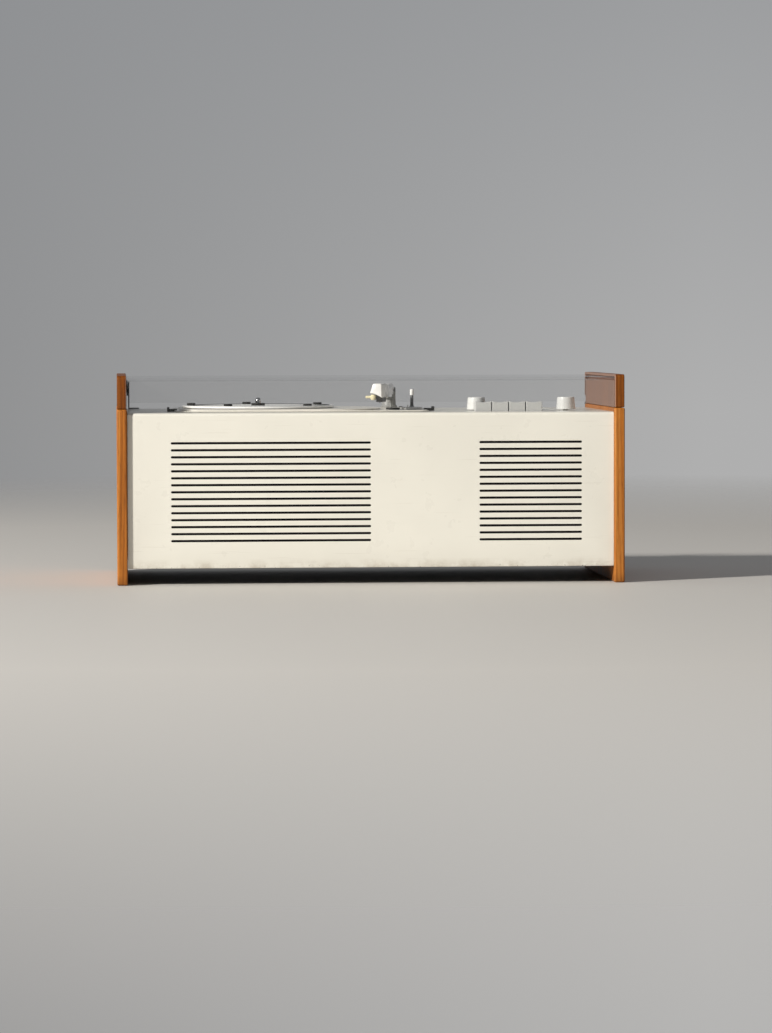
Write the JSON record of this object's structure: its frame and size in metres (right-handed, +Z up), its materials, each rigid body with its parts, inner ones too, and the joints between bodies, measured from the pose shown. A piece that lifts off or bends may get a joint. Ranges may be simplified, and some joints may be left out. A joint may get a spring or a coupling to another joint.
{
  "type": "radio phonograph console",
  "caption": "Table-top radio and record player: white slotted metal body between wooden side panels, with a deck of controls and a clear hinged lid with wooden ends.",
  "frame": {"origin": "middle of the footprint, on the surface that the side panels stand on", "axes": "+Z up, +X to the right of someone facing the slotted front, the front faces -Y"},
  "size_m": [0.584, 0.294, 0.24],
  "materials": {
    "lacquered_sheet": "creamy white lacquer, satin to gloss",
    "player_sheet": "creamy white lacquer, gloss",
    "side_wood": "reddish-brown veneer, satin",
    "lid_wood": "dark brown veneer, satin",
    "fibre_board": "pressed fibre board, matt",
    "dark_sheet": "dark painted sheet",
    "black_plastic": "black, matt",
    "brown_bakelite": "brown bakelite",
    "cloth": "black woven cloth",
    "plywood": "plywood, raw",
    "grey_steel": "grey stamped steel",
    "cone_paper": "black paper pulp",
    "magnet_iron": "plain iron",
    "clear_cover": "clear acrylic, polished",
    "hinge_steel": "zinc-plated steel",
    "stay_black": "black lacquered steel strip",
    "board_steel": "grey painted steel",
    "platter_white": "white enamel on aluminium",
    "rubber_black": "black rubber",
    "spindle_steel": "polished steel",
    "pulley_brass": "turned brass",
    "motor_steel": "plated steel",
    "white_plastic": "white, glossy",
    "grey_plastic": "dark grey, satin",
    "rest_grey": "grey, satin",
    "clip_black": "black",
    "cartridge_dark": "dark grey-brown, satin",
    "selector_cream": "cream",
    "key_grey": "light grey, satin",
    "knob_white": "white, glossy, with a paler cap",
    "housing_black": "dark grey, matt",
    "dial_clear": "clear, polished",
    "scale_print": "cream with a printed scale",
    "pointer_red": "red",
    "chassis_steel": "plated steel",
    "valve_glass": "clear glass",
    "core_iron": "laminated iron and varnished winding",
    "capacitor_metal": "plain aluminium",
    "pot_steel": "plated steel"
  },
  "bodies": {
    "casing": {"left_side_panel": "side_wood", "right_side_panel": "side_wood", "body_shell": "lacquered_sheet", "rear_panel": "fibre_board", "bottom_plate": "dark_sheet", "mains_inlet": "black_plastic", "aerial_socket": "brown_bakelite", "grille_cloth": "cloth", "speaker_baffle": "plywood", "speaker_frame": "grey_steel", "speaker_cone": "cone_paper", "speaker_magnet": "magnet_iron", "left_hinge_lower": "hinge_steel", "right_hinge_lower": "hinge_steel", "lid_stay_bracket": "board_steel", "player_plate": "player_sheet", "motor": "motor_steel", "left_player_clip": "clip_black", "right_player_clip": "clip_black", "arm_rest_base": "black_plastic", "arm_rest_fork": "rest_grey", "tonearm_base": "rest_grey", "motor_board": "board_steel", "key_shaft": "hinge_steel", "volume_control": "pot_steel", "dial_housing": "housing_black", "dial_glass": "dial_clear", "dial_scale": "scale_print", "chassis": "chassis_steel", "valve_1": "valve_glass", "valve_2": "valve_glass", "valve_3": "valve_glass", "mains_transformer": "core_iron", "tuning_capacitor_frame": "capacitor_metal"},
    "lid": {"lid_cover": "clear_cover", "lid_left_end": "lid_wood", "lid_right_end": "lid_wood", "left_hinge_upper": "hinge_steel", "right_hinge_upper": "hinge_steel"},
    "stay": {"lid_stay_arm": "stay_black"},
    "turntable": {"platter": "platter_white", "platter_pads": "rubber_black", "centre_puck": "rubber_black", "spindle": "spindle_steel"},
    "idler": {"idler_wheel": "rubber_black"},
    "motor_rotor": {"motor_pulley": "pulley_brass"},
    "arm_swivel": {"tonearm_yoke": "rest_grey"},
    "arm_beam": {"tonearm": "white_plastic", "cartridge": "cartridge_dark"},
    "stylus_lever": {"stylus_selector": "selector_cream"},
    "speed_switch": {"speed_dial": "white_plastic", "speed_stem": "grey_plastic"},
    "volume": {"volume_knob": "knob_white"},
    "tuning": {"tuning_knob": "knob_white"},
    "capacitor": {"tuning_capacitor_rotor": "capacitor_metal"},
    "pointer": {"dial_pointer": "pointer_red"},
    "button_1": {"key_1": "key_grey"},
    "button_2": {"key_2": "key_grey"},
    "button_3": {"key_3": "key_grey"},
    "button_4": {"key_4": "key_grey"}
  },
  "joints": [
    {"name": "lid_hinge", "type": "hinge", "parent": "casing", "child": "lid", "pos_m": [0, 0.1436, 0.2017], "axis": [-1, 0, 0], "range_deg": [0, 70]},
    {"name": "stay_pivot", "type": "hinge", "parent": "lid", "child": "stay", "pos_m": [-0.2792, -0.03, 0.2215], "axis": [-1, 0, 0], "range_deg": [0, 19]},
    {"name": "platter_spin", "type": "hinge", "parent": "casing", "child": "turntable", "pos_m": [-0.125, 0, 0.195], "axis": [0, 0, 1], "continuous": true},
    {"name": "idler_spin", "type": "hinge", "parent": "casing", "child": "idler", "pos_m": [-0.07364, -0.03596, 0.194], "axis": [0, 0, 1], "continuous": true},
    {"name": "motor_spin", "type": "hinge", "parent": "casing", "child": "motor_rotor", "pos_m": [-0.07364, -0.01366, 0.19], "axis": [0, 0, 1], "continuous": true},
    {"name": "arm_turn", "type": "hinge", "parent": "casing", "child": "arm_swivel", "pos_m": [0.037, 0.105, 0.21], "axis": [0, 0, -1], "range_deg": [0, 34]},
    {"name": "arm_lift", "type": "hinge", "parent": "arm_swivel", "child": "arm_beam", "pos_m": [0.037, 0.105, 0.219], "axis": [-0.994, 0.1091, 0], "range_deg": [0, 0.8]},
    {"name": "stylus_turn", "type": "hinge", "parent": "arm_beam", "child": "stylus_lever", "pos_m": [0.00556, -0.08908, 0.2135], "axis": [0, 0, 1], "range_deg": [0, 60]},
    {"name": "speed_turn", "type": "hinge", "parent": "casing", "child": "speed_switch", "pos_m": [0.0543, -0.036, 0.2], "axis": [0, 0, 1], "range_deg": [0, 120]},
    {"name": "volume_turn", "type": "hinge", "parent": "casing", "child": "volume", "pos_m": [0.129, -0.05, 0.205], "axis": [0, 0, -1], "range_deg": [0, 270]},
    {"name": "tuning_turn", "type": "hinge", "parent": "casing", "child": "tuning", "pos_m": [0.2345, -0.05, 0.205], "axis": [0, 0, -1], "range_deg": [-540, 540]},
    {"name": "capacitor_turn", "type": "hinge", "parent": "casing", "child": "capacitor", "pos_m": [0.2, 0.062, 0.1], "axis": [0, 0, -1], "range_deg": [-90, 90]},
    {"name": "pointer_slide", "type": "slide", "parent": "casing", "child": "pointer", "axis": [0, 1, 0], "range_m": [-0.0475, 0.0475]},
    {"name": "key_1_press", "type": "hinge", "parent": "casing", "child": "button_1", "pos_m": [0.1342, -0.025, 0.186], "axis": [1, 0, 0], "range_deg": [0, 4.5], "stiffness_Nm_per_rad": 0.8, "springref_deg": -5.73},
    {"name": "key_2_press", "type": "hinge", "parent": "casing", "child": "button_2", "pos_m": [0.154, -0.025, 0.186], "axis": [1, 0, 0], "range_deg": [0, 4.5], "stiffness_Nm_per_rad": 0.8, "springref_deg": -5.73},
    {"name": "key_3_press", "type": "hinge", "parent": "casing", "child": "button_3", "pos_m": [0.1738, -0.025, 0.186], "axis": [1, 0, 0], "range_deg": [0, 4.5], "stiffness_Nm_per_rad": 0.8, "springref_deg": -5.73},
    {"name": "key_4_press", "type": "hinge", "parent": "casing", "child": "button_4", "pos_m": [0.1936, -0.025, 0.186], "axis": [1, 0, 0], "range_deg": [0, 4.5], "stiffness_Nm_per_rad": 0.8, "springref_deg": -5.73}
  ],
  "couplings": [
    {"joint": "stay_pivot", "follows": "lid_hinge", "ratio": 0.2609},
    {"joint": "idler_spin", "follows": "platter_spin", "ratio": 4.15},
    {"joint": "motor_spin", "follows": "platter_spin", "ratio": -41.5},
    {"joint": "capacitor_turn", "follows": "tuning_turn", "ratio": 0.16667},
    {"joint": "pointer_slide", "follows": "tuning_turn", "m_per_rad": 0.005}
  ]
}
